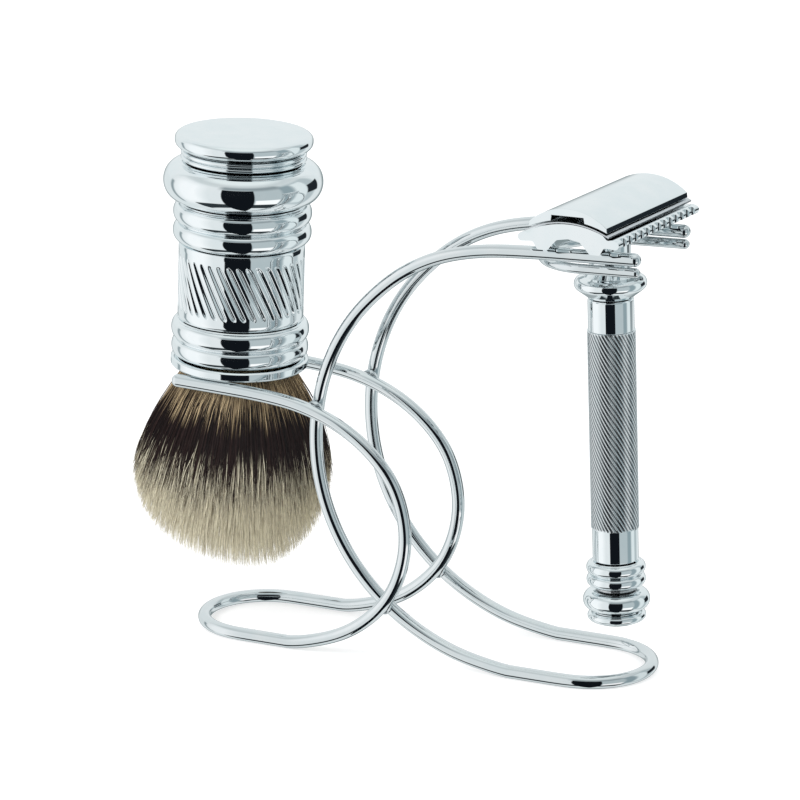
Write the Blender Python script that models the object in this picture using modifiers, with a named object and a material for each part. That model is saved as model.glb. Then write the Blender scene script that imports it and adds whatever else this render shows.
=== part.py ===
"""Shaving set: a two-wire stand carrying a brush and a double-edge razor.

Metres, +Z up.  The origin is on the table under the middle of the whole set.
X runs from the brush fork (-X) to the razor fork (+X); Y runs across the forks.
"""
import math

import bmesh
import bpy
import numpy as np
from mathutils import Matrix

MM = 0.001

# ---------------------------------------------------------------- dimensions
WIRE_R = 1.6 * MM               # both hoops are bent from 3.2 mm wire
LEG_HALF = 15.3 * MM            # half the distance between a hoop's two legs
HOOP_SHIFT = 1.8 * MM           # each hoop sits this far to its side of Y = 0
FORK_RISE = math.radians(2.0)   # both forks rise towards their open tips
CLEAR = 0.3 * MM                # gap between neighbouring pieces

# side profile of each hoop's wire centre, (x, z) in mm, fork tip to foot
RAZOR_SIDE = [
    (61.3, 107.8), (47.0, 107.3), (33.0, 106.7), (20.0, 105.5), (8.0, 102.2),
    (-3.2, 95.5), (-14.0, 84.0), (-20.8, 70.0), (-23.2, 54.5), (-20.9, 38.8),
    (-13.8, 24.4), (-2.4, 12.8), (12.1, 5.0), (27.0, 1.8), (34.0, 1.6), (43.3, 1.6),
]
BRUSH_SIDE = [
    (-60.7, 65.0), (-48.5, 64.6), (-36.0, 64.0), (-25.5, 62.6), (-15.0, 58.9),
    (-6.0, 52.6), (0.4, 43.8), (2.6, 31.0), (-1.6, 17.5), (-12.2, 7.2),
    (-26.0, 2.1), (-35.0, 1.6), (-43.7, 1.6),
]
PATH_STEP = 4.5 * MM            # spacing of points along a hoop
TURN_STEPS = 10                 # points round a half-circle bend

# small U-shaped rod under the razor fork
CRADLE_R = 1.2 * MM
CRADLE_GAP = 0.3 * MM
CRADLE_LEG = 14.6 * MM

# braze fillets where the two hoops cross
BRAZE_R = 2.1 * MM
BRAZE_HALF_T = 1.35 * MM
BRAZE_CLEAR = 0.25 * MM

WIRE_FLAT = WIRE_R * math.cos(math.pi / 8)  # wire centre down to the facet it rests on
SET_SHIFT = (6.95 * MM, 1.46 * MM, WIRE_FLAT - WIRE_R)   # middle of the set on the origin
BRUSH_X = -50.2 * MM
RAZOR_X = 47.0 * MM
RAZOR_YAW = math.radians(-5.0)  # the razor hangs turned a little in its fork

# brush, measured up its axis from the underside of its flange
BRUSH_BORE_R = 2.8 * MM
BRUSH_ROD_R = 2.5 * MM
BARREL_R = 15.5 * MM
BARREL_LOW = 12.2 * MM
BARREL_HIGH = 31.2 * MM
FLUTE_LOW = 14.8 * MM
FLUTE_HIGH = 28.4 * MM
FLUTE_COUNT = 40
FLUTE_DEPTH = 0.55 * MM
FLUTE_TWIST = -0.44             # radians a flute turns from bottom to top

# razor, measured up its axis from the top of its fork's prongs
RAZOR_BORE_R = 2.7 * MM
KNURL_R = 5.8 * MM
HANDLE_R = 5.55 * MM
STUD_R = 1.5 * MM
HEAD_HALF = 20.5 * MM           # half the head's length
BLADE_HALF = 21.0 * MM
COMB_PITCH = 2.9 * MM
COMB_COUNT = 14

TURNED_STEPS = 32

COLLECTION = "shaving_stand_set"


# ------------------------------------------------------------------- helpers
def clear_scene():
    """Empty the scene of whatever it starts with."""
    for obj in list(bpy.data.objects):
        bpy.data.objects.remove(obj, do_unlink=True)


def new_collection(name, parent=None):
    """Make a collection under the scene or another collection."""
    coll = bpy.data.collections.new(name)
    (parent or bpy.context.scene.collection).children.link(coll)
    return coll


def material(name, color, metallic, roughness):
    """A plain Principled material."""
    mat = bpy.data.materials.new(name)
    mat.use_nodes = True
    shader = mat.node_tree.nodes["Principled BSDF"]
    shader.inputs["Base Color"].default_value = (*color, 1.0)
    shader.inputs["Metallic"].default_value = metallic
    shader.inputs["Roughness"].default_value = roughness
    return mat


def place(obj, coll, mat, parent=None, loc=(0.0, 0.0, 0.0), rot=(0.0, 0.0, 0.0)):
    """Link an object, give it its material and put it in its frame."""
    coll.objects.link(obj)
    obj.data.materials.append(mat)
    obj.parent = parent
    obj.location = loc
    obj.rotation_euler = rot
    return obj


def frame_empty(name, coll, loc, rot, parent=None):
    """An empty that carries one assembly's frame."""
    empty = bpy.data.objects.new(name, None)
    coll.objects.link(empty)
    empty.parent = parent
    empty.location = loc
    empty.rotation_euler = rot
    return empty


def mesh_object(name, bm):
    """Turn a bmesh into a named mesh object."""
    mesh = bpy.data.meshes.new(name)
    bm.to_mesh(mesh)
    bm.free()
    return bpy.data.objects.new(name, mesh)


def turned(name, profile_mm, steps=TURNED_STEPS, closed=False):
    """A turned piece: an (r, z) profile in mm run down its outer side."""
    bm = bmesh.new()
    verts = [bm.verts.new((r * MM, 0.0, z * MM)) for r, z in profile_mm]
    for low, high in zip(verts[:-1], verts[1:]):
        bm.edges.new((low, high))
    if closed:
        bm.edges.new((verts[-1], verts[0]))
    obj = mesh_object(name, bm)
    screw = obj.modifiers.new("turn", "SCREW")
    screw.axis = "Z"
    screw.angle = math.tau
    screw.steps = steps
    screw.render_steps = steps
    screw.use_merge_vertices = True
    screw.merge_threshold = 0.00001
    screw.use_smooth_shade = True
    return obj


def rod(name, radius, low, high, steps=16):
    """A plain round rod along Z with broken edges."""
    r, z0, z1 = radius / MM, low / MM, high / MM
    edge = 0.3
    profile = [(0, z1), (r - edge, z1), (r, z1 - edge), (r, z0 + edge), (r - edge, z0), (0, z0)]
    return turned(name, profile, steps)


def arc(cx, cz, radius, start_deg, end_deg, count):
    """Points of an arc in the (r, z) plane, in mm."""
    angles = np.radians(np.linspace(start_deg, end_deg, count))
    return [(cx + radius * math.cos(a), cz + radius * math.sin(a)) for a in angles]


def bead(r_in, r_out, z_top, z_low, count=5):
    """A rounded ring's outer side between two heights, in mm."""
    half = (z_top - z_low) / 2
    mid = (z_top + z_low) / 2
    angles = np.linspace(math.pi / 2, -math.pi / 2, count)
    return [(r_in + (r_out - r_in) * math.cos(a), mid + half * math.sin(a)) for a in angles]


def spline_points(waypoints, step):
    """Even points along a smooth path through waypoints, all in metres."""
    pts = np.array(waypoints, float)
    ends = np.vstack([2 * pts[0] - pts[1], pts, 2 * pts[-1] - pts[-2]])
    dense = []
    for i in range(1, len(ends) - 2):
        p0, p1, p2, p3 = ends[i - 1:i + 3]
        for t in np.linspace(0, 1, 24, endpoint=False):
            dense.append(0.5 * (2 * p1 + (p2 - p0) * t + (2 * p0 - 5 * p1 + 4 * p2 - p3) * t ** 2
                                + (3 * p1 - p0 - 3 * p2 + p3) * t ** 3))
    dense.append(pts[-1])
    dense = np.array(dense)
    run = np.concatenate([[0], np.cumsum(np.linalg.norm(np.diff(dense, axis=0), axis=1))])
    count = max(2, int(round(run[-1] / step)) + 1)
    at = np.linspace(0, run[-1], count)
    return np.column_stack([np.interp(at, run, dense[:, k]) for k in range(dense.shape[1])])


def rounded_ends(points, radius):
    """Add the short tapering steps that round both ends of a wire."""
    taper = [(1.0, 0.12), (0.9, 0.42), (0.6, 0.78), (0.0, 1.0)]
    path, scale = [], []
    lead = points[1] - points[0]
    lead = lead / np.linalg.norm(lead)
    for back, size in taper:
        path.append(points[0] + lead * radius * (1.0 - back))
        scale.append(size)
    for point in points[1:-1]:
        path.append(point)
        scale.append(1.0)
    tail = points[-2] - points[-1]
    tail = tail / np.linalg.norm(tail)
    for back, size in reversed(taper):
        path.append(points[-1] + tail * radius * (1.0 - back))
        scale.append(size)
    return path, scale


def wire(name, points, radius, resolution=2):
    """A round wire with domed ends along a path of 3-D points."""
    path, scale = rounded_ends(points, radius)
    curve = bpy.data.curves.new(name, "CURVE")
    curve.dimensions = "3D"
    curve.twist_mode = "MINIMUM"
    curve.bevel_depth = radius
    curve.bevel_resolution = resolution
    curve.use_fill_caps = True
    curve.render_resolution_u = 0
    spline = curve.splines.new("POLY")
    spline.points.add(len(path) - 1)
    for point, co, size in zip(spline.points, path, scale):
        point.co = (*co, 1.0)
        point.radius = size
        point.tilt = math.pi / 8
    return bpy.data.objects.new(name, curve)


def extruded(name, outline_mm, half_length, bevel=0.0):
    """An (x, z) outline in mm drawn out along Y both ways."""
    bm = bmesh.new()
    verts = [bm.verts.new((x * MM, -half_length, z * MM)) for x, z in outline_mm]
    face = bm.faces.new(verts)
    swept = bmesh.ops.extrude_face_region(bm, geom=[face])
    moved = [item for item in swept["geom"] if isinstance(item, bmesh.types.BMVert)]
    bmesh.ops.translate(bm, verts=moved, vec=(0.0, 2 * half_length, 0.0))
    bmesh.ops.recalc_face_normals(bm, faces=bm.faces)
    obj = mesh_object(name, bm)
    if bevel:
        mod = obj.modifiers.new("edges", "BEVEL")
        mod.width = bevel
        mod.segments = 1
        mod.limit_method = "ANGLE"
        mod.angle_limit = math.radians(50)
    return obj


def cutter(name, bm, coll, parent=None, loc=(0.0, 0.0, 0.0), rot=(0.0, 0.0, 0.0)):
    """A hidden solid that only cuts others."""
    bmesh.ops.recalc_face_normals(bm, faces=bm.faces)
    obj = mesh_object(name, bm)
    coll.objects.link(obj)
    obj.parent = parent
    obj.location = loc
    obj.rotation_euler = rot
    obj.hide_render = True
    obj.display_type = "WIRE"
    return obj


def cut(obj, tool, operation="DIFFERENCE"):
    """Apply one exact boolean with a hidden tool."""
    mod = obj.modifiers.new(operation.lower(), "BOOLEAN")
    mod.solver = "EXACT"
    mod.operation = operation
    mod.object = tool
    return mod


def cylinder_bm(radius, depth, segments=20, matrix=None, bm=None):
    """Add a closed cylinder along Z to a bmesh."""
    bm = bm or bmesh.new()
    made = bmesh.ops.create_cone(bm, cap_ends=True, segments=segments, radius1=radius,
                                 radius2=radius, depth=depth)
    if matrix is not None:
        bmesh.ops.transform(bm, matrix=matrix, verts=made["verts"])
    return bm


# ------------------------------------------------------------------ the hoops
def hoop_path(side_mm, centre_y, foot_sign):
    """One hoop: near leg down, round the foot on the table, far leg back up."""
    side = spline_points([(x * MM, z * MM) for x, z in side_mm], PATH_STEP)
    side[:, 1] = np.maximum(side[:, 1], WIRE_R)
    near = [np.array([x, centre_y - LEG_HALF, z]) for x, z in side]
    far = [np.array([x, centre_y + LEG_HALF, z]) for x, z in reversed(side)]
    foot_x, foot_z = side[-1]
    bend = []
    for a in np.linspace(-math.pi / 2, math.pi / 2, TURN_STEPS + 1)[1:-1]:
        bend.append(np.array([foot_x + foot_sign * LEG_HALF * math.cos(a),
                              centre_y + LEG_HALF * math.sin(a), foot_z]))
    return near + bend + far


def crossing(first_mm, second_mm, above):
    """Where the two side profiles cross, with each wire's slope there."""
    first = spline_points([(x * MM, z * MM) for x, z in first_mm], 1.0 * MM)
    second = spline_points([(x * MM, z * MM) for x, z in second_mm], 1.0 * MM)
    found = []
    for a, b in zip(first[:-1], first[1:]):
        for c, d in zip(second[:-1], second[1:]):
            r, s = b - a, d - c
            det = r[0] * s[1] - r[1] * s[0]
            if abs(det) < 1e-12:
                continue
            q = c - a
            t = (q[0] * s[1] - q[1] * s[0]) / det
            u = (q[0] * r[1] - q[1] * r[0]) / det
            if 0 <= t < 1 and 0 <= u < 1:
                found.append((a + r * t, math.atan2(r[1], r[0]), math.atan2(s[1], s[0])))
    found.sort(key=lambda item: item[0][1])
    return found[-1] if above else found[0]


def braze(name, at, y, slopes, parts, tools, mat, base):
    """A fillet of braze round one crossing, cleared from both wires."""
    bm = bmesh.new()
    bmesh.ops.create_uvsphere(bm, u_segments=16, v_segments=8, radius=1.0)
    bmesh.ops.scale(bm, vec=(BRAZE_R, BRAZE_HALF_T, BRAZE_R), verts=bm.verts)
    obj = place(mesh_object(name, bm), parts, mat, base, (at[0], y, at[1]))
    for index, (slope, side) in enumerate(zip(slopes, (1, -1))):
        tool_bm = cylinder_bm(WIRE_R + BRAZE_CLEAR, 14 * MM)
        tool = cutter("%s_clear_%d" % (name, index), tool_bm, tools, base,
                      loc=(at[0], y + side * HOOP_SHIFT, at[1]),
                      rot=(0.0, math.pi / 2 - slope, 0.0))
        cut(obj, tool)
    return obj


def build_stand(parts, tools, mats, base):
    """Both hoops, their four brazed crossings and the razor's cradle."""
    razor_hoop = wire("razor_hoop", hoop_path(RAZOR_SIDE, HOOP_SHIFT, 1), WIRE_R)
    place(razor_hoop, parts, mats["chrome"], base)
    brush_hoop = wire("brush_hoop", hoop_path(BRUSH_SIDE, -HOOP_SHIFT, -1), WIRE_R)
    place(brush_hoop, parts, mats["chrome"], base)
    for level, above in (("upper", True), ("lower", False)):
        at, razor_slope, brush_slope = crossing(RAZOR_SIDE, BRUSH_SIDE, above)
        for leg, sign in (("near", -1), ("far", 1)):
            braze("braze_%s_%s" % (level, leg), at, sign * LEG_HALF,
                  (razor_slope, brush_slope), parts, tools, mats["braze"], base)
    drop = WIRE_R + CRADLE_R + CRADLE_GAP
    near = [(CRADLE_LEG * (1 - k / 3), -LEG_HALF) for k in range(3)]
    bend = [(LEG_HALF * math.cos(a), LEG_HALF * math.sin(a))
            for a in np.linspace(-math.pi / 2, -3 * math.pi / 2, 17)]
    far = [(x, -y) for x, y in reversed(near)]
    path = [np.array([x, y, 0.0]) for x, y in near + bend + far]
    cradle = wire("razor_cradle", path, CRADLE_R)
    seat = seat_point(RAZOR_SIDE, RAZOR_X)
    place(cradle, parts, mats["chrome"], base,
          loc=(RAZOR_X + drop * math.sin(FORK_RISE), HOOP_SHIFT, seat - drop * math.cos(FORK_RISE)),
          rot=(0.0, -FORK_RISE, 0.0))


def seat_point(side_mm, x):
    """Height of a hoop's wire centre under an assembly's axis."""
    side = spline_points([(px * MM, pz * MM) for px, pz in side_mm], 0.5 * MM)
    fork = side[: len(side) // 3]
    order = np.argsort(fork[:, 0])
    return float(np.interp(x, fork[order, 0], fork[order, 1]))


# ------------------------------------------------------------------ the brush
def fluted_barrel(name):
    """The handle's barrel with slanting flutes and a rod hole through it."""
    across = 3 * FLUTE_COUNT
    levels = [BARREL_HIGH, FLUTE_HIGH]
    levels += [FLUTE_HIGH - 0.7 * MM + (FLUTE_LOW - FLUTE_HIGH + 1.4 * MM) * k / 3 for k in range(4)]
    levels += [FLUTE_LOW, BARREL_LOW]
    bm = bmesh.new()
    rings = []
    for level in levels:
        inside = FLUTE_LOW < level < FLUTE_HIGH
        turn = FLUTE_TWIST * (level - FLUTE_LOW) / (FLUTE_HIGH - FLUTE_LOW)
        ring = []
        for k in range(across):
            depth = (0.0, 0.9, 0.9)[k % 3] * FLUTE_DEPTH if inside else 0.0
            a = math.tau * k / across + turn
            r = BARREL_R - depth
            ring.append(bm.verts.new((r * math.cos(a), r * math.sin(a), level)))
        rings.append(ring)
    for upper, lower in zip(rings[:-1], rings[1:]):
        for k in range(across):
            n = (k + 1) % across
            bm.faces.new((upper[k], lower[k], lower[n], upper[n]))
    bore = []
    for ring, level in ((rings[0], BARREL_HIGH), (rings[-1], BARREL_LOW)):
        start = math.atan2(ring[0].co.y, ring[0].co.x)
        hole = []
        for k in range(across // 6):
            a = start + math.tau * 6 * k / across
            hole.append(bm.verts.new((BRUSH_BORE_R * math.cos(a), BRUSH_BORE_R * math.sin(a), level)))
        for k in range(len(hole)):
            n = (k + 1) % len(hole)
            outer = [ring[(6 * k + j) % across] for j in range(7)]
            bm.faces.new(outer + [hole[n], hole[k]])
        bore.append(hole)
    for k in range(len(bore[0])):
        n = (k + 1) % len(bore[0])
        bm.faces.new((bore[0][k], bore[0][n], bore[1][n], bore[1][k]))
    bmesh.ops.recalc_face_normals(bm, faces=bm.faces)
    return mesh_object(name, bm)


def build_brush(parts, mats, frame):
    """The brush, handle up, on its own frame at the flange's underside."""
    chrome = mats["chrome"]
    bore = BRUSH_BORE_R / MM

    cap = [(0, 58.5), (15.2, 58.5)] + arc(15.4, 57.0, 1.5, 85, 0, 4)
    cap += arc(15.2, 56.7, 1.7, -10, -75, 3) + [(15.0, 54.8), (bore, 54.8), (bore, 56.8), (0, 56.8)]
    place(turned("brush_top_cap", cap), parts, chrome, frame)

    beads = [(bore, 54.5), (14.4, 54.5)] + bead(14.5, 15.4, 54.4, 53.2, 4)
    beads += bead(14.5, 15.4, 53.1, 51.9, 4) + [(14.4, 51.8), (bore, 51.8)]
    place(turned("brush_bead_collar", beads, closed=True), parts, chrome, frame)

    bulge = [(bore, 51.5), (15.2, 51.5)] + bead(15.6, 19.55, 51.3, 42.1, 8) + [(15.2, 41.7), (bore, 41.7)]
    place(turned("brush_grip_ring", bulge, 40, closed=True), parts, chrome, frame)

    upper = [(bore, 41.4), (15.2, 41.4)] + bead(15.5, 17.0, 41.1, 36.6, 5)
    upper += bead(15.5, 17.0, 36.3, 31.8, 5) + [(15.2, 31.5), (bore, 31.5)]
    place(turned("brush_upper_collar", upper, closed=True), parts, chrome, frame)

    place(fluted_barrel("brush_barrel"), parts, chrome, frame)

    lower = [(12.5, 2.6), (12.5, 9.5), (bore, 9.5), (bore, 11.9), (15.4, 11.9)]
    lower += bead(15.7, 17.0, 11.6, 7.2, 5) + bead(15.7, 16.9, 6.9, 2.8, 5) + [(15.4, 2.6)]
    place(turned("brush_lower_collar", lower, closed=True), parts, chrome, frame)

    flange = [(12.5, 2.3), (16.6, 2.3), (17.0, 1.9), (17.0, 0.4), (16.6, 0.0), (12.5, 0.0)]
    place(turned("brush_flange", flange, closed=True), parts, chrome, frame)

    tie = rod("brush_tie_rod", BRUSH_ROD_R, 6.2 * MM, 56.5 * MM)
    place(tie, parts, mats["steel"], frame)

    bm = bmesh.new()
    cylinder_bm(4.6 * MM, 2.2 * MM, 6, bm=bm)
    nut = place(mesh_object("brush_tie_nut", bm), parts, mats["brass"], frame, (0.0, 0.0, 8.1 * MM))
    hole = cutter("brush_tie_nut_hole", cylinder_bm(BRUSH_BORE_R, 6 * MM), parts_tools(parts),
                  frame, (0.0, 0.0, 8.1 * MM))
    cut(nut, hole)

    plug = [(0, 5.8), (11.9, 5.8), (12.2, 5.5), (12.2, 0.9), (11.9, 0.6), (0, 0.6)]
    place(turned("brush_knot_plug", plug, 32), parts, mats["resin"], frame)

    knot = [(0, 0.3), (12.0, 0.3), (12.2, 0.1), (13.2, -0.6), (13.3, -3.9), (15.4, -5.2), (17.6, -9.0)]
    knot += [(20.4, -15.0), (22.9, -21.0), (24.4, -26.0), (24.7, -30.0), (23.8, -34.5), (21.3, -39.5)]
    knot += [(17.2, -44.3), (11.4, -48.6), (5.8, -51.0), (0, -51.9)]
    place(turned("brush_hair_knot", knot, 32), parts, mats["hair"], frame)


def parts_tools(parts):
    """The collection that holds the hidden cutting solids."""
    return parts.children["cutting_solids"]


# ------------------------------------------------------------------ the razor
def curved_strip(half_width, under_r, over_r, under_z, over_z, count=13):
    """Outline in mm of a strip bent to two arcs about the head's middle."""
    xs = np.linspace(-half_width, half_width, count)
    over = [(x, over_z - over_r + math.sqrt(over_r ** 2 - x ** 2)) for x in xs]
    under = [(x, under_z - under_r + math.sqrt(under_r ** 2 - x ** 2)) for x in reversed(xs)]
    return over + under


def base_plate_outline():
    """Half section of the base plate mirrored into a full outline, in mm."""
    crown = [(x, 7.0 - 24.0 + math.sqrt(24.0 ** 2 - x ** 2)) for x in (0.0, 2.4, 4.8, 7.0, 9.2)]
    guard = [(10.3, 4.0), (11.6, 4.3), (12.9, 3.9), (13.4, 3.2), (13.2, 2.4), (12.6, 2.0)]
    under = [(9.4, 2.2), (8.2, 0.3), (5.6, 0.3), (4.6, 1.4), (3.0, 3.0), (0.0, 3.5)]
    right = crown + guard + under
    left = [(-x, z) for x, z in reversed(right) if x > 0]
    return right + left


def build_razor(parts, mats, frame):
    """The razor hanging by its head, on its own frame at the prongs' tops."""
    chrome = mats["chrome"]
    tools = parts_tools(parts)
    bore = RAZOR_BORE_R / MM

    # head: base plate with a comb cut in both guards, blade, clamping cap
    plate = extruded("razor_base_plate", base_plate_outline(), HEAD_HALF)
    place(plate, parts, chrome, frame)
    boss_bm = cylinder_bm(6.6 * MM, 4.6 * MM, 32)
    boss = cutter("base_plate_boss", boss_bm, tools, frame, (0.0, 0.0, 2.6 * MM))
    cut(plate, boss, "UNION")
    holes_bm = cylinder_bm(STUD_R + CLEAR, 20 * MM)
    for sign in (-1, 1):
        spot = place_matrix(0.0, sign * 13.0 * MM, 5.5 * MM)
        cylinder_bm(1.2 * MM, 8 * MM, 12, spot, holes_bm)
    holes = cutter("base_plate_holes", holes_bm, tools, frame)
    cut(plate, holes)
    comb_bm = bmesh.new()
    for sign in (-1, 1):
        for k in range(COMB_COUNT - 1):
            y = (k - (COMB_COUNT - 2) / 2) * COMB_PITCH
            cylinder_bm(0.85 * MM, 8 * MM, 10, place_matrix(sign * 13.3 * MM, y, 3.0 * MM), comb_bm)
    comb = cutter("base_plate_comb", comb_bm, tools, frame)
    cut(plate, comb)

    blade = extruded("razor_blade", curved_strip(11.0, 24.3, 24.6, 7.3, 7.6), BLADE_HALF)
    place(blade, parts, mats["blade"], frame)
    slot_bm = bmesh.new()
    bmesh.ops.create_cube(slot_bm, size=1.0)
    bmesh.ops.scale(slot_bm, vec=(3.8 * MM, 30.0 * MM, 10 * MM), verts=slot_bm.verts)
    slot = cutter("blade_slot", slot_bm, tools, frame, (0.0, 0.0, 7.5 * MM))
    cut(blade, slot)

    cap_over = [(x, 10.7 - 15.6 + math.sqrt(15.6 ** 2 - x ** 2)) for x in np.linspace(-10.2, 10.2, 17)]
    cap_under = [(x, 7.9 - 24.9 + math.sqrt(24.9 ** 2 - x ** 2)) for x in (10.3, 8.2, 6.2, 4.4)]
    cap_under += [(4.2, 8.9), (-4.2, 8.9)]
    cap_under += [(x, 7.9 - 24.9 + math.sqrt(24.9 ** 2 - x ** 2)) for x in (-4.4, -6.2, -8.2, -10.3)]
    cap = extruded("razor_cap", cap_over + cap_under, HEAD_HALF)
    place(cap, parts, chrome, frame)
    socket_bm = cylinder_bm(STUD_R + CLEAR, 4.0 * MM, 20, place_matrix(0.0, 0.0, 7.9 * MM))
    for sign in (-1, 1):
        cylinder_bm(1.2 * MM, 4.0 * MM, 12, place_matrix(0.0, sign * 13.0 * MM, 7.9 * MM), socket_bm)
    socket = cutter("cap_sockets", socket_bm, tools, frame)
    cut(cap, socket)

    stud = rod("razor_cap_stud", STUD_R, -24.0 * MM, 9.6 * MM)
    place(stud, parts, mats["steel"], frame)
    for sign, side in ((-1, "near"), (1, "far")):
        pin = rod("razor_cap_pin_%s" % side, 0.9 * MM, 4.4 * MM, 9.6 * MM, 12)
        place(pin, parts, chrome, frame, (0.0, sign * 13.0 * MM, 0.0))

    # handle: collar, knurled tube, tail ferrule
    collar = [(1.8, 0.0), (4.6, 0.0), (5.0, -0.4), (5.0, -8.2), (6.4, -9.6)]
    collar += arc(7.0, -11.5, 1.7, 80, -50, 6) + [(6.0, -14.4), (5.4, -14.9), (1.8, -14.9)]
    place(turned("razor_neck_collar", collar, closed=True), parts, chrome, frame)

    tube = [(bore, -15.2), (5.3, -15.2), (HANDLE_R / MM, -15.6), (HANDLE_R / MM, -22.7), (KNURL_R / MM, -23.0)]
    tube += [(KNURL_R / MM, -71.9), (HANDLE_R / MM, -72.2), (HANDLE_R / MM, -80.0), (bore, -80.0)]
    place(turned("razor_handle_tube", tube, closed=True), parts, chrome, frame)

    tail = [(bore, -80.3), (5.8, -80.3)] + bead(6.0, 7.15, -80.5, -83.3, 5)
    tail += bead(6.0, 7.15, -83.5, -86.3, 5) + [(5.6, -86.5), (bore, -86.5)]
    place(turned("razor_tail_ferrule", tail, closed=True), parts, chrome, frame)

    # turning knob with its washer and the draw tube that takes the cap's stud
    washer = [(bore, -86.8), (5.0, -86.8), (5.0, -87.3), (bore, -87.3)]
    place(turned("razor_thrust_washer", washer, 28, closed=True), parts, mats["steel"], frame)

    knob = [(bore, -87.6), (5.8, -87.6)] + bead(6.2, 8.1, -87.8, -92.2, 7) + [(5.8, -92.4), (bore, -92.4)]
    place(turned("razor_knob", knob, closed=True), parts, chrome, frame)

    button = [(0, -92.7), (5.6, -92.7)] + bead(5.8, 7.1, -92.9, -95.2, 5) + [(5.2, -95.6), (0, -95.8)]
    place(turned("razor_end_button", button), parts, chrome, frame)

    draw = [(0, -30.0), (1.8, -30.0), (1.8, -15.5), (2.1, -15.5), (2.4, -15.8), (2.4, -92.1)]
    draw += [(2.1, -92.4), (0, -92.4)]
    place(turned("razor_draw_rod", draw, 16), parts, mats["steel"], frame)


def place_matrix(x, y, z):
    """A plain translation matrix."""
    return Matrix.Translation((x, y, z))


# ------------------------------------------------------------------- assembly
def main():
    clear_scene()
    parts = new_collection(COLLECTION)
    tools = new_collection("cutting_solids", parts)
    mats = {
        "chrome": material("chrome", (0.78, 0.82, 0.84), 1.0, 0.06),
        "braze": material("braze", (0.72, 0.75, 0.77), 1.0, 0.2),
        "steel": material("steel", (0.6, 0.6, 0.6), 1.0, 0.3),
        "blade": material("blade_steel", (0.55, 0.57, 0.6), 1.0, 0.22),
        "brass": material("brass", (0.78, 0.6, 0.28), 1.0, 0.3),
        "resin": material("resin", (0.75, 0.68, 0.5), 0.0, 0.4),
        "hair": material("hair", (0.42, 0.33, 0.24), 0.0, 0.7),
    }
    base = frame_empty("set_origin", parts, SET_SHIFT, (0.0, 0.0, 0.0))
    build_stand(parts, tools, mats, base)

    tilt = FORK_RISE
    brush_seat = seat_point(BRUSH_SIDE, BRUSH_X)
    lift = WIRE_R + CLEAR
    brush = frame_empty("brush_frame", parts,
                        (BRUSH_X + lift * math.sin(tilt), -HOOP_SHIFT, brush_seat + lift * math.cos(tilt)),
                        (0.0, tilt, 0.0), base)
    build_brush(parts, mats, brush)

    razor_seat = seat_point(RAZOR_SIDE, RAZOR_X)
    hang = frame_empty("razor_hang", parts,
                       (RAZOR_X - WIRE_R * math.sin(tilt), HOOP_SHIFT, razor_seat + WIRE_R * math.cos(tilt)),
                       (0.0, -tilt, 0.0), base)
    razor = frame_empty("razor_frame", parts, (0.0, 0.0, 0.0), (0.0, 0.0, RAZOR_YAW), hang)
    build_razor(parts, mats, razor)
    bpy.context.view_layer.update()


main()
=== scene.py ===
"""Looks of the shaving set: a two-wire stand with its brush and its razor.

Metres, +Z up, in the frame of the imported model.  Lists marked mm are in millimetres.
"""
import math

import bmesh
import bpy
import numpy as np
from mathutils import Matrix, Vector


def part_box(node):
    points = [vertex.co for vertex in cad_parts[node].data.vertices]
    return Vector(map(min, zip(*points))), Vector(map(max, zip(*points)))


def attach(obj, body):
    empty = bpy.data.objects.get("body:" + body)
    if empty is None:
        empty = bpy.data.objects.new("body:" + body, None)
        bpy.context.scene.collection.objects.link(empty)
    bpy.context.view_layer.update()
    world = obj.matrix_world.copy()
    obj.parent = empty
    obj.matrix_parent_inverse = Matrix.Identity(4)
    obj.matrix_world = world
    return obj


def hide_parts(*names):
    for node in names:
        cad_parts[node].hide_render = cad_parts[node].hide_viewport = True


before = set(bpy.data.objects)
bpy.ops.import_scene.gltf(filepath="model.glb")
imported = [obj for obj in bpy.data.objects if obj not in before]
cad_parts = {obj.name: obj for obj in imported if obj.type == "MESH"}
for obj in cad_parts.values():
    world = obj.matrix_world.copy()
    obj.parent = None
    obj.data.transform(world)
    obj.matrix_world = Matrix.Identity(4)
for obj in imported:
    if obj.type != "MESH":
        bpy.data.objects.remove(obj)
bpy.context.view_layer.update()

MM = 0.001

# ---------------------------------------------------------------- camera and light
CAMERA_AT = (0.44394, -0.92748, 0.36326)
CAMERA_YAW = math.radians(25.546)
CAMERA_PITCH = math.radians(-16.316)
CAMERA_LENS = 198.08
FLOOR_HALF = 3.0

# ---------------------------------------------------------------- stand, as in the solids
WIRE_R = 1.6 * MM
LEG_HALF = 15.3 * MM
HOOP_SHIFT = 1.8 * MM
FORK_RISE = math.radians(2.0)
RAZOR_SIDE = [
    (61.3, 107.8), (47.0, 107.3), (33.0, 106.7), (20.0, 105.5), (8.0, 102.2),
    (-3.2, 95.5), (-14.0, 84.0), (-20.8, 70.0), (-23.2, 54.5), (-20.9, 38.8),
    (-13.8, 24.4), (-2.4, 12.8), (12.1, 5.0), (27.0, 1.8), (34.0, 1.6), (43.3, 1.6),
]
BRUSH_SIDE = [
    (-60.7, 65.0), (-48.5, 64.6), (-36.0, 64.0), (-25.5, 62.6), (-15.0, 58.9),
    (-6.0, 52.6), (0.4, 43.8), (2.6, 31.0), (-1.6, 17.5), (-12.2, 7.2),
    (-26.0, 2.1), (-35.0, 1.6), (-43.7, 1.6),
]
SET_SHIFT = np.array([6.95, 1.46, WIRE_R / MM * (math.cos(math.pi / 8) - 1)]) * MM
PATH_STEP = 1.0 * MM
PATH_BLUR = 2.6                 # path steps over which a bent wire's curve is eased
WIRE_SIDES = 32
CRADLE_R = 1.2 * MM
CRADLE_LEG = 14.6 * MM

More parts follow.
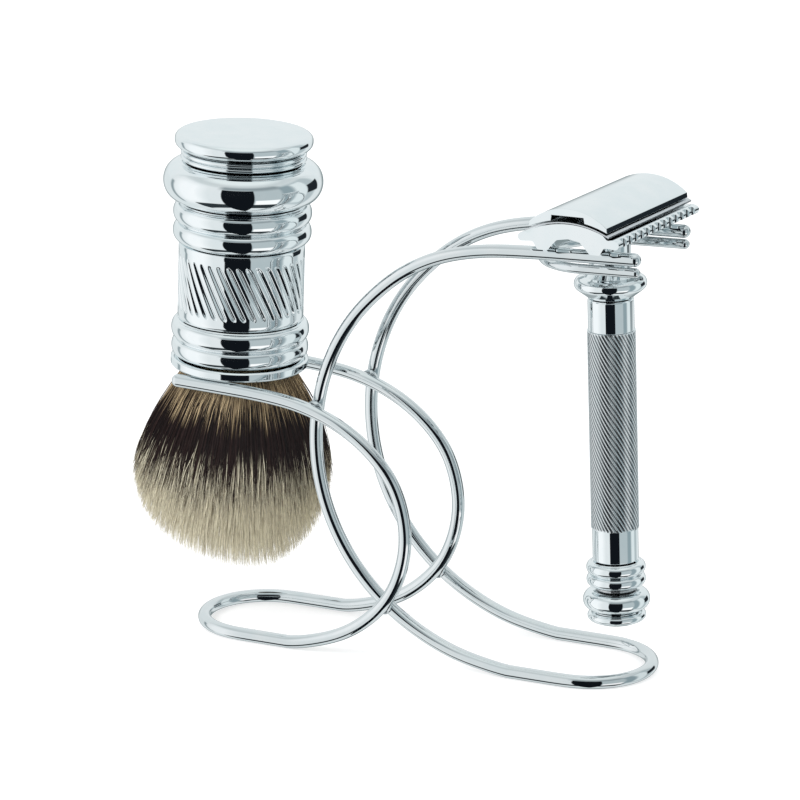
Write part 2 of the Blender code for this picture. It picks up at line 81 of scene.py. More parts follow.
# ---------------------------------------------------------------- turned pieces
TURNED_STEPS = 160
EDGE_R = 0.22                   # mm, on the corners of turned pieces
SUPPORT = 0.04                  # mm, band that keeps a flat's shading flat beside an edge
BRUSH_BORE = 2.8                # mm
RAZOR_BORE = 2.7                # mm
BRUSH_ROD_MID = 31.35 * MM      # the tie rod's middle above the flange's underside
STUD_MID = -7.2 * MM            # the cap stud's middle below the prongs' tops
RAZOR_YAW = math.radians(-5.0)

BARREL_R = 15.5                 # mm
BARREL_SPAN = (12.2, 31.2)      # mm above the flange's underside
BARREL_EDGE = (0.14, 0.12)      # mm, in and down, on the barrel's end corners
FLUTE_BAND = (14.8, 28.4)       # mm
FLUTE_COUNT = 40
FLUTE_DEPTH = 0.55              # mm
FLUTE_WIDTH = 0.62              # of the spacing of the flutes
FLUTE_RUNOUT = 1.3              # mm, the length of each ball end
FLUTE_TURN = -0.44 / 13.6       # radians a flute turns per mm of height
TUBE_R = 5.55                   # mm, where the razor's tube is plain
TUBE_SPAN = (-80.0, -15.2)      # mm, heights from the prongs' tops
KNURL_R = 5.8                   # mm
KNURL_BAND = (-71.9, -23.0)     # mm
KNURL_COUNT = 38
KNURL_DEPTH = 0.17              # mm
KNURL_TURN = -0.1045            # radians per mm of height
KNURL_CROSS = 66                # finer lines that cross the main ones
KNURL_CROSS_TURN = 0.13         # radians per mm of height
KNURL_FADE = 0.35               # mm over which the grooves end
RAZOR_STEPS = 128               # round the razor's turned pieces

HEAD_HALF = 20.5                # mm, half the head's length
CAP_HALF_WIDTH = 10.2           # mm
CAP_TOP, CAP_DOME_R = 10.7, 15.6        # mm
LAND_Z, LAND_R = 7.9, 24.9      # mm, the cap's underside that clamps the blade
BED_Z, BED_R = 7.0, 24.0        # mm, the base plate's domed top
BLADE_HALF = 21.0               # mm, half the blade's length
BLADE_HALF_WIDTH = 11.0         # mm
BLADE_UNDER, BLADE_OVER = (7.3, 24.3), (7.6, 24.6)      # mm, height and bend radius
SLOT_R, SLOT_REACH = 1.9, 13.1  # mm, the blade's slot
COMB_PITCH = 2.9                # mm
COMB_NOTCHES = 13
NOTCH_X, NOTCH_R = 13.05, 0.95  # mm
STUD_HOLE_R = 1.8               # mm
PIN_HOLE_R, PIN_Y = 1.2, 13.0   # mm
BOSS_R = 6.6                    # mm, round the stud under the base plate
BAR_SIDES = 40                  # of the round bars that cut holes

# ---------------------------------------------------------------- hair
HAIR_TUFTS = 5
HAIRS_IN_TUFT = 3200
HAIR_RINGS = 8
HAIR_R = 0.085 * MM
HAIR_CLUMPS = 420
HAIR_ROOT_R = 12.8 * MM
HAIR_WIDE_R = 24.7 * MM
HAIR_WIDE_DEPTH = 28.5 * MM
HAIR_TIP_DEPTH = 52.3 * MM
HAIR_DOME = 1.16                # one less the cosine of the widest hairs' lean
HAIR_SWEEP = 3.6 * MM           # how far the middle's tips lie to one side
HAIR_SWEEP_TURN = math.radians(25.0)
PRONG_INNER = 13.35 * MM        # half the gap that the prongs leave for the hair
PRONG_DEPTH = 3.9 * MM
LOCK_REACH = 0.12               # how near in or out a hair lies to join a lock's tip
LOCK_TURN = 0.16                # radians, how near round it lies
TO_DARK = (2.5, 10.0, 3.4)      # mm: earliest change, spread between hairs, softness
TO_CREAM = (15.5, 14.0, 4.5)
LOCK_SPREAD = 5.0               # mm, spread of the second change between locks
TINT_STEP = 7.3                 # makes a hair's tint independent of its lengths


# ============================================================================ meshes
def mesh_piece(name, verts, faces, smooth_angle=40.0):
    """A smooth-shaded mesh object; edges sharper than the angle stay crisp."""
    mesh = bpy.data.meshes.new(name)
    mesh.from_pydata([tuple(v) for v in verts], [], faces)
    mesh.validate()
    mesh.shade_smooth()
    mesh.set_sharp_from_angle(angle=math.radians(smooth_angle))
    obj = bpy.data.objects.new(name, mesh)
    bpy.context.scene.collection.objects.link(obj)
    return obj


def dress(obj, mat, body, node=None, matrix=None):
    """Place a piece, give it its material and tie it to its body."""
    if matrix is not None:
        obj.matrix_world = matrix
    obj.data.materials.clear()
    obj.data.materials.append(mat)
    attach(obj, body)
    if node:
        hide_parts(node)
    return obj


def grid_faces(rows, columns, wrap_rows=False):
    """Quads over rows of rings whose columns close on themselves."""
    faces = []
    for i in range(rows if wrap_rows else rows - 1):
        a, b = i * columns, ((i + 1) % rows) * columns
        for k in range(columns):
            n = (k + 1) % columns
            faces.append((a + k, b + k, b + n, a + n))
    return faces


def arc(cr, cz, radius, start_deg, end_deg, count=12):
    """Points of an arc in the (r, z) plane."""
    angles = np.radians(np.linspace(start_deg, end_deg, count))
    return [(cr + radius * math.cos(a), cz + radius * math.sin(a)) for a in angles]


def bead(r_in, r_out, z_top, z_low, count=25):
    """A rounded ring's outer side between two heights."""
    half, mid = (z_top - z_low) / 2, (z_top + z_low) / 2
    angles = np.linspace(math.pi / 2, -math.pi / 2, count)
    return [(r_in + (r_out - r_in) * math.cos(a), mid + half * math.sin(a)) for a in angles]


def eased(profile, closed, radius=EDGE_R, steps=5, least_deg=24.0):
    """Round the corners of a profile in mm."""
    pts = [np.array(p, float) for p in profile]
    count = len(pts)
    out = []
    for i, p in enumerate(pts):
        if not closed and i in (0, count - 1):
            out.append(p)
            continue
        a, b = pts[i - 1] - p, pts[(i + 1) % count] - p
        la, lb = np.linalg.norm(a), np.linalg.norm(b)
        if la < 1e-6 or lb < 1e-6:
            continue
        a, b = a / la, b / lb
        turn = math.pi - math.acos(float(np.clip(np.dot(a, b), -1, 1)))
        if turn < math.radians(least_deg):
            out.append(p)
            continue
        reach = min(radius * math.tan(turn / 2), 0.42 * la, 0.42 * lb)
        if reach + SUPPORT < 0.48 * la:
            out.append(p + a * (reach + SUPPORT))
        for t in np.linspace(0, 1, steps + 1):
            out.append(p + a * reach * (1 - t) ** 2 + b * reach * t ** 2)
        if reach + SUPPORT < 0.48 * lb:
            out.append(p + b * (reach + SUPPORT))
    return out


def turned(name, profile, steps=TURNED_STEPS):
    """A turned piece from a profile in mm run down its outer side.

    A profile that starts and ends on the axis is closed there; any other is a ring.
    """
    solid = profile[0][0] == 0 and profile[-1][0] == 0
    points = eased(profile, not solid)
    angles = np.arange(steps) * math.tau / steps
    if solid:
        rings = points[1:-1]
    else:
        rings = points
    verts = [(r * math.cos(a) * MM, r * math.sin(a) * MM, z * MM) for r, z in rings for a in angles]
    faces = grid_faces(len(rings), steps, wrap_rows=not solid)
    if solid:
        top, low = len(verts), len(verts) + 1
        verts += [(0.0, 0.0, points[0][1] * MM), (0.0, 0.0, points[-1][1] * MM)]
        last = (len(rings) - 1) * steps
        for k in range(steps):
            n = (k + 1) % steps
            faces.append((top, k, n))
            faces.append((low, last + n, last + k))
    return mesh_piece(name, verts, faces)


def catmull(waypoints, step):
    """Even points along a smooth path through waypoints."""
    pts = np.array(waypoints, float)
    ends = np.vstack([2 * pts[0] - pts[1], pts, 2 * pts[-1] - pts[-2]])
    dense = []
    for i in range(1, len(ends) - 2):
        p0, p1, p2, p3 = ends[i - 1:i + 3]
        for t in np.linspace(0, 1, 24, endpoint=False):
            dense.append(0.5 * (2 * p1 + (p2 - p0) * t + (2 * p0 - 5 * p1 + 4 * p2 - p3) * t ** 2
                                + (3 * p1 - p0 - 3 * p2 + p3) * t ** 3))
    dense.append(pts[-1])
    return evenly(np.array(dense), step)


def evenly(path, step):
    """Resample a path at an even spacing."""
    run = np.concatenate([[0], np.cumsum(np.linalg.norm(np.diff(path, axis=0), axis=1))])
    at = np.linspace(0, run[-1], max(2, int(round(run[-1] / step)) + 1))
    return np.column_stack([np.interp(at, run, path[:, k]) for k in range(path.shape[1])])


def blurred(path, sigma):
    """Ease a path's curvature, holding its ends."""
    reach = int(4 * sigma)
    head = 2 * path[0] - path[reach:0:-1]
    tail = 2 * path[-1] - path[-2:-reach - 2:-1]
    padded = np.vstack([head, path, tail])
    weights = np.exp(-0.5 * (np.arange(-reach, reach + 1) / sigma) ** 2)
    weights /= weights.sum()
    return np.column_stack([np.convolve(padded[:, k], weights, "valid") for k in range(3)])


def tube(name, path, radius, sides=WIRE_SIDES, end_rings=8):
    """A round wire with domed ends along a path of points."""
    lead = (path[1] - path[0]) / np.linalg.norm(path[1] - path[0])
    tail = (path[-2] - path[-1]) / np.linalg.norm(path[-2] - path[-1])
    lean = np.linspace(0, math.pi / 2, end_rings + 1)[1:]
    run = np.concatenate([[0], np.cumsum(np.linalg.norm(np.diff(path, axis=0), axis=1))])
    body = path[(run > 1.05 * radius) & (run < run[-1] - 1.05 * radius)]
    centres = [path[0] + lead * radius * (1 - math.cos(a)) for a in lean]
    centres += list(body)
    centres += [path[-1] + tail * radius * (1 - math.cos(a)) for a in lean[::-1]]
    scale = np.concatenate([np.sin(lean), np.ones(len(body)), np.sin(lean[::-1])])
    centres = np.array(centres)
    along = np.gradient(centres, axis=0)
    along /= np.linalg.norm(along, axis=1)[:, None]
    across = np.cross(along[0], (0.0, 0.31, 0.95))
    verts = []
    for centre, way, size in zip(centres, along, scale):
        across = across - way * np.dot(across, way)
        across /= np.linalg.norm(across)
        other = np.cross(way, across)
        for k in range(sides):
            a = math.tau * k / sides
            verts.append(centre + radius * size * (across * math.cos(a) + other * math.sin(a)))
    rows = len(centres)
    faces = [tuple(reversed(f)) for f in grid_faces(rows, sides)]
    verts += [path[0], path[-1]]
    first, last = rows * sides, rows * sides + 1
    base = (rows - 1) * sides
    for k in range(sides):
        n = (k + 1) % sides
        faces.append((first, n, k))
        faces.append((last, base + k, base + n))
    return mesh_piece(name, verts, faces, 60.0)


def prism(name, outline, half_length):
    """An (x, z) outline in mm drawn out along Y both ways."""
    count = len(outline)
    verts = [(x * MM, y * half_length * MM, z * MM) for y in (-1, 1) for x, z in outline]
    faces = [tuple(range(count)), tuple(range(2 * count - 1, count - 1, -1))]
    for k in range(count):
        n = (k + 1) % count
        faces.append((k, count + k, count + n, n))
    bm = bmesh.new()
    made = [bm.verts.new(v) for v in verts]
    for face in faces:
        bm.faces.new([made[i] for i in face])
    bmesh.ops.recalc_face_normals(bm, faces=bm.faces)
    mesh = bpy.data.meshes.new(name)
    bm.to_mesh(mesh)
    bm.free()
    obj = bpy.data.objects.new(name, mesh)
    bpy.context.scene.collection.objects.link(obj)
    return obj


def cutting_tool(bars):
    """One mesh of upright round bars (x, y, z, radius, length) in mm.

    A sixth number draws a bar out along Y both ways, for a slot.
    """
    bm = bmesh.new()
    for x, y, z, radius, length, *reach in bars:
        made = bmesh.ops.create_cone(bm, cap_ends=True, segments=BAR_SIDES, radius1=radius * MM,
                                     radius2=radius * MM, depth=length * MM,
                                     matrix=Matrix.Rotation(math.pi / BAR_SIDES, 4, "Z"))
        for vert in made["verts"]:
            vert.co.y += math.copysign(sum(reach) * MM, vert.co.y)
        bmesh.ops.translate(bm, verts=made["verts"], vec=(x * MM, y * MM, z * MM))
    mesh = bpy.data.meshes.new("tool")
    bm.to_mesh(mesh)
    bm.free()
    obj = bpy.data.objects.new("tool", mesh)
    bpy.context.scene.collection.objects.link(obj)
    return obj


def worked(obj, steps, bevel=0.0, segments=3):
    """Run booleans and an edge rounding on a piece, then fix the result in its mesh."""
    tools = []
    for operation, bars in steps:
        tool = cutting_tool(bars)
        tools.append(tool)
        mod = obj.modifiers.new("cut", "BOOLEAN")
        mod.solver = "EXACT"
        mod.operation = operation
        mod.object = tool
    if bevel:
        mod = obj.modifiers.new("edges", "BEVEL")
        mod.width = bevel * MM
        mod.segments = segments
        mod.limit_method = "ANGLE"
        mod.angle_limit = math.radians(38)
        mod.use_clamp_overlap = True
    bpy.context.view_layer.update()
    graph = bpy.context.evaluated_depsgraph_get()
    mesh = bpy.data.meshes.new_from_object(obj.evaluated_get(graph))
    obj.modifiers.clear()
    obj.data = mesh
    mesh.shade_smooth()
    mesh.set_sharp_from_angle(angle=math.radians(42))
    level = obj.modifiers.new("flats", "WEIGHTED_NORMAL")
    level.keep_sharp = True
    for tool in tools:
        bpy.data.objects.remove(tool, do_unlink=True)
    return obj


def grooved(name, rows, count, per_groove, turn, band, inner, depth_at):
    """A tube whose outer side is cut by slanting grooves.

    rows lists (radius, height) in mm down the outer side; the grooves turn only over
    band's heights; depth_at gives how deep the surface lies at a place across a groove
    (-0.5 to 0.5), an angle and a height.  The mesh keeps that depth as depth_mm.
    """
    columns = count * per_groove
    verts, depths = [], []
    for radius, z in rows:
        for k in range(columns):
            across = (k % per_groove) / per_groove - 0.5
            angle = math.tau * k / columns + turn * min(max(z, band[0]), band[1])
            depths.append(depth_at(across, angle, z))
            r = radius - depths[-1]
            verts.append((r * math.cos(angle) * MM, r * math.sin(angle) * MM, z * MM))
    for z in (rows[-1][1], rows[0][1]):
        for k in range(columns):
            angle = math.tau * k / columns + turn * min(max(z, band[0]), band[1])
            verts.append((inner * math.cos(angle) * MM, inner * math.sin(angle) * MM, z * MM))
    obj = mesh_piece(name, verts, grid_faces(len(rows) + 2, columns, wrap_rows=True), 50.0)
    layer = obj.data.attributes.new("depth_mm", "FLOAT", "POINT")
    layer.data.foreach_set("value", np.array(depths + [0.0] * (2 * columns), np.float32))
    return obj


# ============================================================================ materials
def add(tree, kind, inputs=None, **settings):
    """Add a shader node; an input is a value or another node's socket."""
    made = tree.nodes.new(kind)
    for key, value in settings.items():
        setattr(made, key, value)
    for key, value in (inputs or {}).items():
        if isinstance(value, bpy.types.NodeSocket):
            tree.links.new(value, made.inputs[key])
        else:
            made.inputs[key].default_value = value
    return made


def blank(name, **constants):
    """A node material with constants on its Principled shader."""
    mat = bpy.data.materials.new(name)
    mat.use_nodes = True
    tree = mat.node_tree
    shader = tree.nodes["Principled BSDF"]
    for key, value in constants.items():
        shader.inputs[key.replace("_", " ")].default_value = value
    return mat, tree, shader


def place_in(tree, stretch=(1.0, 1.0, 1.0)):
    """The surface's own place, stretched along its axes."""
    at = add(tree, "ShaderNodeTexCoord").outputs["Object"]
    return add(tree, "ShaderNodeMapping", {"Vector": at, "Scale": stretch}).outputs["Vector"]


def noise(tree, at, scale, detail=2.0, rough=0.5):
    """A cloud pattern from 0 to 1."""
    return add(tree, "ShaderNodeTexNoise",
               {"Vector": at, "Scale": scale, "Detail": detail, "Roughness": rough}).outputs["Fac"]


def spread(tree, value, low, high, start=0.35, stop=0.65):
    """Map part of a pattern's range to a new range."""
    return add(tree, "ShaderNodeMapRange",
               {"Value": value, "From Min": start, "From Max": stop, "To Min": low, "To Max": high}
               ).outputs["Result"]


def mixed(tree, amount, first, second):
    """A colour between two."""
    made = add(tree, "ShaderNodeMix", {0: amount, 6: first, 7: second}, data_type="RGBA")
    return made.outputs[2]


def multiplied(tree, first, second):
    """One colour tinted by another."""
    made = add(tree, "ShaderNodeMix", {0: 1.0, 6: first, 7: second}, data_type="RGBA",
               blend_type="MULTIPLY")
    return made.outputs[2]


def math_node(tree, operation, *values):
    """One arithmetic step."""
    return add(tree, "ShaderNodeMath", dict(enumerate(values)), operation=operation).outputs[0]


def own_value(tree, name):
    """A value kept at each of the mesh's points."""
    return add(tree, "ShaderNodeAttribute", attribute_name=name).outputs["Fac"]


def bumped(tree, shader, height, distance):
    """Drive a shader's normal from a height pattern."""
    bump = add(tree, "ShaderNodeBump", {"Height": height, "Distance": distance})
    tree.links.new(bump.outputs["Normal"], shader.inputs["Normal"])


def chrome_finish(name, low, high, stretch, line_height, light=1.0):
    """Bright plating: a faint polishing grain under a thin haze of handling marks."""
    mat, tree, shader = blank(name, Metallic=1.0)
    grain = noise(tree, place_in(tree, stretch), 1.0, 3.0, 0.6)
    haze = noise(tree, place_in(tree), 140.0, 4.0, 0.6)
    dull = (0.83 * light, 0.875 * light, 0.89 * light, 1)
    clean = (0.88 * light, 0.905 * light, 0.915 * light, 1)
    tone = mixed(tree, spread(tree, haze, 0.0, 1.0), dull, clean)
    tree.links.new(tone, shader.inputs["Base Color"])
    marks = spread(tree, haze, low, high, 0.42, 0.72)
    streaks = spread(tree, grain, -0.006, 0.012)
    tree.links.new(math_node(tree, "ADD", marks, streaks), shader.inputs["Roughness"])
    bumped(tree, shader, grain, line_height)
    return mat


def knurl_finish():
    """Bright plating with painted shade: its base colour darkens down into the grooves."""
    mat = chrome_finish("chrome_knurl", 0.27, 0.36, (1500.0, 1500.0, 1500.0), 0.000004)
    tree = mat.node_tree
    shader = tree.nodes["Principled BSDF"]
    clean = shader.inputs["Base Color"].links[0].from_socket
    deep = spread(tree, own_value(tree, "depth_mm"), 0.0, 1.0, 0.03, 0.14)
    # painted shade: the deeper a place lies in a groove, the darker its colour, standing in for the
    # shade that falls there
    painted_groove_shade = mixed(tree, deep, (1.0, 1.0, 1.0, 1), (0.16, 0.175, 0.185, 1))
    tree.links.new(multiplied(tree, clean, painted_groove_shade), shader.inputs["Base Color"])
    return mat


def braze_finish():
    """The plated fillet where two wires are joined: a little dull and uneven."""
    mat, tree, shader = blank("braze", Metallic=1.0)
    lumps = noise(tree, place_in(tree), 900.0, 4.0)
    tone = mixed(tree, lumps, (0.62, 0.66, 0.68, 1), (0.82, 0.85, 0.86, 1))
    tree.links.new(tone, shader.inputs["Base Color"])
    tree.links.new(spread(tree, lumps, 0.10, 0.26), shader.inputs["Roughness"])
    bumped(tree, shader, lumps, 0.00006)
    return mat


def steel_finish(name, dark, light, stretch, low, high):
    """Plain steel with lines from drawing, turning or grinding."""
    mat, tree, shader = blank(name, Metallic=1.0)
    lines = noise(tree, place_in(tree, stretch), 1.0, 4.0, 0.65)
    stain = noise(tree, place_in(tree), 260.0, 3.0)
    tone = mixed(tree, math_node(tree, "MULTIPLY", lines, stain), light, dark)
    tree.links.new(tone, shader.inputs["Base Color"])
    tree.links.new(spread(tree, lines, low, high), shader.inputs["Roughness"])
    bumped(tree, shader, lines, 0.000008)
    return mat


def resin_finish():
    """Cast resin round the hair's roots: amber, cloudy, with fine bubbles."""
    mat, tree, shader = blank("resin", Metallic=0.0, IOR=1.52)
    cloud = noise(tree, place_in(tree), 320.0, 4.0)
    dots = add(tree, "ShaderNodeTexVoronoi", {"Vector": place_in(tree), "Scale": 1500.0})
    tone = mixed(tree, cloud, (0.58, 0.44, 0.22, 1), (0.80, 0.70, 0.48, 1))
    tree.links.new(tone, shader.inputs["Base Color"])
    tree.links.new(spread(tree, cloud, 0.25, 0.5), shader.inputs["Roughness"])
    bumped(tree, shader, dots.outputs["Distance"], 0.00005)
    return mat


def hair_finish():
    """Badger hair: tan root, near-black band, cream tip, each hair a little different."""
    mat, tree, shader = blank("hair", Metallic=0.0, Specular_IOR_Level=0.16)
    along, own, lock = (own_value(tree, name) for name in ("along_mm", "own", "lock"))
    streak = noise(tree, place_in(tree, (1.0, 1.0, 0.2)), 2500.0, 2.0)
    # where each hair changes colour, in mm from its root
    start, between, soft = TO_DARK
    first = math_node(tree, "ADD", math_node(tree, "MULTIPLY", own, between), start)
    to_dark = math_node(tree, "DIVIDE", math_node(tree, "SUBTRACT", along, first), soft)
    start, between, soft = TO_CREAM
    second = math_node(tree, "ADD", math_node(tree, "MULTIPLY", own, between),
                       math_node(tree, "MULTIPLY", lock, LOCK_SPREAD))
    second = math_node(tree, "ADD", second, start)
    to_cream = math_node(tree, "DIVIDE", math_node(tree, "SUBTRACT", along, second), soft)
    dark_mask = add(tree, "ShaderNodeClamp", {"Value": to_dark}).outputs[0]
    cream_mask = add(tree, "ShaderNodeClamp", {"Value": to_cream}).outputs[0]
    # each hair's own tint
    tint = math_node(tree, "MULTIPLY", math_node(tree, "ADD", own, lock), TINT_STEP)
    tint = math_node(tree, "FRACT", tint)
    pale = math_node(tree, "POWER", tint, 0.5)
    root = mixed(tree, tint, (0.07, 0.045, 0.028, 1), (0.62, 0.48, 0.29, 1))
    band = mixed(tree, own, (0.004, 0.0025, 0.003, 1), (0.030, 0.016, 0.015, 1))
    tip = mixed(tree, pale, (0.20, 0.155, 0.10, 1), (0.95, 0.90, 0.69, 1))
    tone = mixed(tree, cream_mask, mixed(tree, dark_mask, root, band), tip)
    shade = mixed(tree, spread(tree, streak, 0.0, 1.0), (0.82, 0.80, 0.78, 1), (1.0, 1.0, 1.0, 1))
    tree.links.new(multiplied(tree, tone, shade), shader.inputs["Base Color"])
    tree.links.new(spread(tree, own, 0.38, 0.6, 0.0, 1.0), shader.inputs["Roughness"])
    return mat


def floor_finish():
    """A plain pale matt surface."""
    mat, tree, shader = blank("floor", Roughness=0.7, Specular_IOR_Level=0.1,
                              Emission_Color=(1.0, 1.0, 1.0, 1.0), Emission_Strength=0.55)
    cloud = noise(tree, place_in(tree), 3.0, 2.0)
    tone = mixed(tree, cloud, (0.50, 0.505, 0.51, 1), (0.54, 0.545, 0.55, 1))
    tree.links.new(tone, shader.inputs["Base Color"])
    return mat


# ============================================================================ the stand
def hoop_path(side_mm, centre_y, foot_sign):
    """One hoop: near leg down, round the foot on the table, far leg back up."""
    side = catmull([(x * MM, z * MM) for x, z in side_mm], PATH_STEP)
    near = [(x, centre_y - LEG_HALF, z) for x, z in side]
    far = [(x, centre_y + LEG_HALF, z) for x, z in side[::-1]]
    foot_x, foot_z = side[-1]
    turn = np.linspace(-math.pi / 2, math.pi / 2, int(math.pi * LEG_HALF / PATH_STEP))[1:-1]
    bend = [(foot_x + foot_sign * LEG_HALF * math.cos(a),
             centre_y + LEG_HALF * math.sin(a), foot_z) for a in turn]
    path = blurred(np.array(near + bend + far), PATH_BLUR) + SET_SHIFT
    path[:, 2] = np.maximum(path[:, 2], WIRE_R)
    return path


def build_stand(mats):
    """Both hoops and the razor's cradle; the braze keeps its solids."""
    razor = tube("razor_hoop_wire", hoop_path(RAZOR_SIDE, HOOP_SHIFT, 1), WIRE_R)
    dress(razor, mats["wire"], "stand_body", "razor_hoop")
    brush = tube("brush_hoop_wire", hoop_path(BRUSH_SIDE, -HOOP_SHIFT, -1), WIRE_R)
    dress(brush, mats["wire"], "stand_body", "brush_hoop")
    low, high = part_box("razor_cradle")
    centre = (low + high) / 2
    straight = np.linspace(CRADLE_LEG, 0, 12, endpoint=False)
    near = [(x, -LEG_HALF, 0.0) for x in straight]
    bend = [(LEG_HALF * math.cos(a), LEG_HALF * math.sin(a), 0.0)
            for a in np.linspace(-math.pi / 2, -3 * math.pi / 2, 49)]
    far = [(x, LEG_HALF, 0.0) for x in straight[::-1]]
    path = np.array(near + bend + far)
    path[:, 0] -= (CRADLE_LEG - LEG_HALF) / 2
    cradle = tube("razor_cradle_rod", path, CRADLE_R)
    matrix = Matrix.Translation(centre) @ Matrix.Rotation(-FORK_RISE, 4, "Y")
    dress(cradle, mats["wire"], "stand_body", "razor_cradle", matrix)


# ============================================================================ the brush
def brush_profiles():
    """Turned brush pieces as (node, profile in mm)."""
    b = BRUSH_BORE
    cap = [(0, 58.5), (15.1, 58.5)] + arc(15.4, 57.0, 1.5, 85, 0)
    cap += arc(15.2, 56.7, 1.7, -6, -75) + [(15.2, 54.8), (b, 54.8), (b, 56.8), (0, 56.8)]
    beads = [(b, 54.5), (14.4, 54.5)] + bead(14.5, 15.4, 54.4, 53.2, 15)
    beads += bead(14.5, 15.4, 53.1, 51.9, 15) + [(14.4, 51.8), (b, 51.8)]
    bulge = [(b, 51.5), (15.2, 51.5)] + bead(15.6, 19.55, 51.3, 42.1, 41)
    bulge += [(15.2, 41.7), (b, 41.7)]
    upper = [(b, 41.4), (15.2, 41.4)] + bead(15.5, 17.0, 41.1, 36.6)
    upper += bead(15.5, 17.0, 36.3, 31.8) + [(15.2, 31.5), (b, 31.5)]
    lower = [(12.5, 2.6), (12.5, 9.5), (b, 9.5), (b, 11.9), (15.4, 11.9)]
    lower += bead(15.7, 17.0, 11.6, 7.2) + bead(15.7, 16.9, 6.9, 2.8) + [(15.4, 2.6)]
    flange = [(12.5, 2.3), (16.6, 2.3), (17.0, 1.9), (17.0, 0.4), (16.6, 0.0), (12.5, 0.0)]
    return [("brush_top_cap", cap), ("brush_bead_collar", beads), ("brush_grip_ring", bulge),
            ("brush_upper_collar", upper), ("brush_lower_collar", lower), ("brush_flange", flange)]


def flute_depth(across, angle, z):
    """Ball-ended scooped flutes between lands of the plain barrel."""
    low, high = FLUTE_BAND
    inside = min(z - low, high - z)
    if inside <= 0:
        return 0.0
    part = min(inside / FLUTE_RUNOUT, 1.0)
    round_end = math.sqrt(1 - (1 - part) ** 2)
    width = FLUTE_WIDTH * round_end
    if abs(across) >= width / 2:
        return 0.0
    return FLUTE_DEPTH * round_end * math.cos(math.pi * across / width) ** 1.3


def barrel_rows():
    """Heights down the barrel, close together where the flutes run out."""
    low, top = BARREL_SPAN
    end, start = FLUTE_BAND
    edge_in, edge_down = BARREL_EDGE
    heights = [top - edge_down, (top + start) / 2, start + 0.2]
    heights += list(np.linspace(start, start - 1.4, 13))
    heights += list(np.linspace(start - 1.4, end + 1.4, 30))[1:-1]
    heights += list(np.linspace(end + 1.4, end, 13))
    heights += [end - 0.2, (low + end) / 2, low + edge_down]
    side = [(BARREL_R, z) for z in heights]
    return [(BARREL_R - edge_in, top)] + side + [(BARREL_R - edge_in, low)]


def build_brush(mats, matrix):
    """The brush's turned handle pieces and its fluted barrel."""
    for node, profile in brush_profiles():
        piece = turned(node + "_turned", profile)
        dress(piece, mats["turned"], "brush_body", node, matrix)
    barrel = grooved("brush_barrel_fluted", barrel_rows(), FLUTE_COUNT, 14, FLUTE_TURN,
                     FLUTE_BAND, BRUSH_BORE, flute_depth)
    dress(barrel, mats["turned"], "brush_body", "brush_barrel", matrix)


def hair_paths(rng, count, depth_bias):
    """Root-to-tip points of one lot of hairs, with each hair's own and lock values."""
    clump = rng.integers(0, HAIR_CLUMPS, count)
    golden = math.pi * (3 - math.sqrt(5))
    clump_turn = clump * golden
    clump_out = np.sqrt((clump + 0.5) / HAIR_CLUMPS)
    out = rng.random(count) ** depth_bias
    turn = rng.random(count) * math.tau
    tip_out = out + 0.35 * (clump_out - out) * (np.abs(clump_out - out) < LOCK_REACH)
    gap = (clump_turn - turn + math.pi) % math.tau - math.pi
    near = np.abs(gap) < LOCK_TURN
    tip_turn = turn + 0.55 * gap * near + rng.normal(0, 0.012, count)
    lean = np.arccos(np.clip(1.0 - HAIR_DOME * tip_out ** 2, -1.0, 1.0))
    shorter = 1.0 - np.abs(rng.normal(0, 0.028, count))
    tip_r = HAIR_WIDE_R * np.sin(lean) ** 1.08 * shorter + rng.normal(0, 0.25 * MM, count)
    half_depth = HAIR_TIP_DEPTH - HAIR_WIDE_DEPTH
    tip_depth = (HAIR_WIDE_DEPTH + half_depth * np.cos(lean)) * shorter
    root_r = HAIR_ROOT_R * out ** 0.9
    power = 1.05 + 0.2 * out
    bow = rng.normal(0, 0.5 * MM, count)
    sway = rng.normal(0, 0.030, count)
    steps = np.linspace(0, 1, HAIR_RINGS)
    depth = tip_depth[:, None] * steps[None, :]
    swell = 1 - (1 - steps[None, :]) ** power[:, None]
    radius = root_r[:, None] + (tip_r - root_r)[:, None] * swell
    radius += bow[:, None] * np.sin(math.pi * steps)[None, :]
    angle = turn[:, None] + (tip_turn - turn)[:, None] * steps[None, :] ** 1.5
    angle += sway[:, None] * np.sin(math.pi * steps)[None, :] ** 2
    sweep = HAIR_SWEEP * (1.4 * np.cos(lean) ** 3 - 0.3)[:, None] * steps[None, :] ** 1.6
    x = radius * np.cos(angle) + sweep * math.cos(HAIR_SWEEP_TURN)
    y = radius * np.sin(angle) + sweep * math.sin(HAIR_SWEEP_TURN)
    room = PRONG_INNER + np.maximum(depth - PRONG_DEPTH, 0.0) * 4.0
    y = np.clip(y, -room, room)
    own = rng.random(count)
    lock = np.modf(clump * 0.61803)[0]
    return np.stack([x, y, -depth], -1), own, lock


